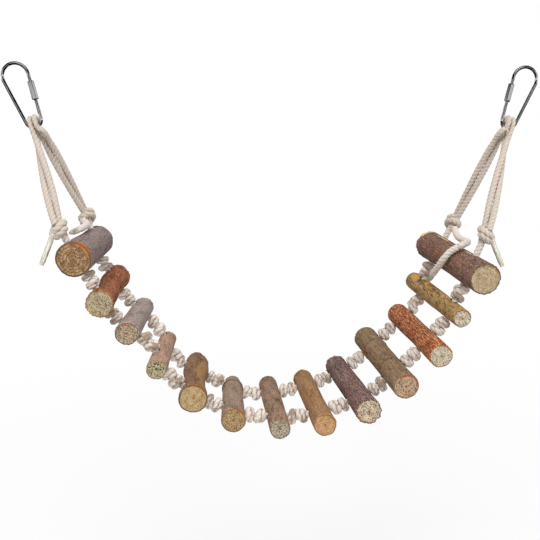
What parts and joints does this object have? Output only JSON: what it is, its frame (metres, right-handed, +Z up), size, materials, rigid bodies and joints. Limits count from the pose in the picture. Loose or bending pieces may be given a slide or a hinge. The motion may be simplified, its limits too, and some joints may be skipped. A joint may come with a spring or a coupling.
{
  "type": "rope ladder bird toy",
  "caption": "Hanging rope ladder for pet birds: drilled natural branch perches threaded on two knotted cotton ropes, with a pear-shaped screw link at each end to hook on a cage.",
  "frame": {"origin": "inside of the left link's upper bow, where it bears on a cage bar", "axes": "+Z up, +X from the left link to the right link, +Y along the perches, away from the viewer"},
  "size_m": [0.4041, 0.1217, 0.2835],
  "materials": {
    "bright_wire": "bright plated",
    "sleeve": "satin plated hexagon",
    "cotton_rope": "twisted raw cotton",
    "clear_tape": "clear adhesive tape",
    "bark_01": "smooth grey-mauve bark",
    "bark_02": "reddish-brown smooth bark",
    "bark_03": "smooth grey-mauve bark",
    "bark_04": "pinkish-tan bark",
    "bark_05": "dark brown bark",
    "bark_06": "grey-brown bark",
    "bark_07": "brown bark",
    "bark_08": "orange-tan bark",
    "bark_09": "purple-brown fibrous bark",
    "bark_10": "olive-brown bark with ring scars",
    "bark_11": "red-orange flaky bark",
    "bark_12": "yellow-olive bark",
    "bark_13": "brown-mauve dotted bark"
  },
  "bodies": {
    "left_link": {"left_link": "bright_wire"},
    "left_sleeve": {"left_sleeve": "sleeve"},
    "ropes": {"front_rope": "cotton_rope", "back_rope": "cotton_rope", "left_front_loop": "cotton_rope", "left_back_loop": "cotton_rope", "right_front_loop": "cotton_rope", "right_back_loop": "cotton_rope", "left_front_knot": "cotton_rope", "left_back_knot": "cotton_rope", "right_front_knot": "cotton_rope", "right_back_knot": "cotton_rope", "left_front_tail": "cotton_rope", "left_back_tail": "cotton_rope", "right_front_tail": "cotton_rope", "right_back_tail": "cotton_rope", "left_front_tape": "clear_tape", "left_back_tape": "clear_tape", "right_front_tape": "clear_tape", "right_back_tape": "clear_tape"},
    "right_link": {"right_link": "bright_wire"},
    "right_sleeve": {"right_sleeve": "sleeve"},
    "perch_01": {"perch_01": "bark_01"},
    "perch_02": {"perch_02": "bark_02"},
    "perch_03": {"perch_03": "bark_03"},
    "perch_04": {"perch_04": "bark_04"},
    "perch_05": {"perch_05": "bark_05"},
    "perch_06": {"perch_06": "bark_06"},
    "perch_07": {"perch_07": "bark_07"},
    "perch_08": {"perch_08": "bark_08"},
    "perch_09": {"perch_09": "bark_09"},
    "perch_10": {"perch_10": "bark_10"},
    "perch_11": {"perch_11": "bark_11"},
    "perch_12": {"perch_12": "bark_12"},
    "perch_13": {"perch_13": "bark_13"}
  },
  "joints": [
    {"name": "ladder_swing", "type": "hinge", "parent": "left_link", "child": "ropes", "pos_m": [0.01423, 0, -0.04381], "axis": [0.9998, 0, -0.019], "range_deg": [-25, 25]},
    {"name": "right_link_turn", "type": "hinge", "parent": "ropes", "child": "right_link", "pos_m": [0.37268, 0, -0.05063], "axis": [0.9998, 0, -0.019], "range_deg": [-25, 25]},
    {"name": "left_sleeve_slide", "type": "slide", "parent": "left_link", "child": "left_sleeve", "axis": [0.2048, 0, -0.9788], "range_m": [0, 0.008]},
    {"name": "right_sleeve_slide", "type": "slide", "parent": "right_link", "child": "right_sleeve", "axis": [-0.2388, 0, -0.9711], "range_m": [0, 0.008]},
    {"name": "perch_01_roll", "type": "hinge", "parent": "ropes", "child": "perch_01", "pos_m": [0.04457, 0, -0.13623], "axis": [0.029, 0.9992, 0.029], "range_deg": [-2.5, 2.5]},
    {"name": "perch_02_roll", "type": "hinge", "parent": "ropes", "child": "perch_02", "pos_m": [0.0593, 0, -0.16801], "axis": [-0.0201, 0.9996, 0.0185], "range_deg": [-3.5, 3.5]},
    {"name": "perch_03_roll", "type": "hinge", "parent": "ropes", "child": "perch_03", "pos_m": [0.07865, 0, -0.19283], "axis": [0.0041, 0.999, -0.0446], "range_deg": [-4, 4]},
    {"name": "perch_04_roll", "type": "hinge", "parent": "ropes", "child": "perch_04", "pos_m": [0.0988, 0, -0.21925], "axis": [-0.0015, 0.9968, -0.0795], "range_deg": [-5, 5]},
    {"name": "perch_05_roll", "type": "hinge", "parent": "ropes", "child": "perch_05", "pos_m": [0.12261, 0, -0.24555], "axis": [-0.0112, 0.9981, -0.0607], "range_deg": [-3.5, 3.5]},
    {"name": "perch_06_roll", "type": "hinge", "parent": "ropes", "child": "perch_06", "pos_m": [0.15247, 0, -0.26169], "axis": [0.0087, 0.9968, -0.0797], "range_deg": [-4, 4]},
    {"name": "perch_07_roll", "type": "hinge", "parent": "ropes", "child": "perch_07", "pos_m": [0.18528, 0, -0.26865], "axis": [-0.0065, 0.9973, -0.0725], "range_deg": [-4.5, 4.5]},
    {"name": "perch_08_roll", "type": "hinge", "parent": "ropes", "child": "perch_08", "pos_m": [0.21725, 0, -0.265], "axis": [-0.0234, 0.9992, -0.0312], "range_deg": [-4.5, 4.5]},
    {"name": "perch_09_roll", "type": "hinge", "parent": "ropes", "child": "perch_09", "pos_m": [0.24758, 0, -0.25401], "axis": [-0.0493, 0.9988, -0.0073], "range_deg": [-4, 4]},
    {"name": "perch_10_roll", "type": "hinge", "parent": "ropes", "child": "perch_10", "pos_m": [0.27603, 0, -0.23413], "axis": [-0.0379, 0.9986, 0.0359], "range_deg": [-3.5, 3.5]},
    {"name": "perch_11_roll", "type": "hinge", "parent": "ropes", "child": "perch_11", "pos_m": [0.30135, 0, -0.21026], "axis": [-0.0188, 0.9991, 0.0393], "range_deg": [-4, 4]},
    {"name": "perch_12_roll", "type": "hinge", "parent": "ropes", "child": "perch_12", "pos_m": [0.31909, 0, -0.18478], "axis": [-0.0371, 0.9969, 0.0692], "range_deg": [-5, 5]},
    {"name": "perch_13_roll", "type": "hinge", "parent": "ropes", "child": "perch_13", "pos_m": [0.3331, 0, -0.15381], "axis": [-0.0454, 0.9951, 0.088], "range_deg": [-3, 3]}
  ],
  "couplings": [
    {"joint": "right_link_turn", "follows": "ladder_swing", "ratio": -1}
  ]
}
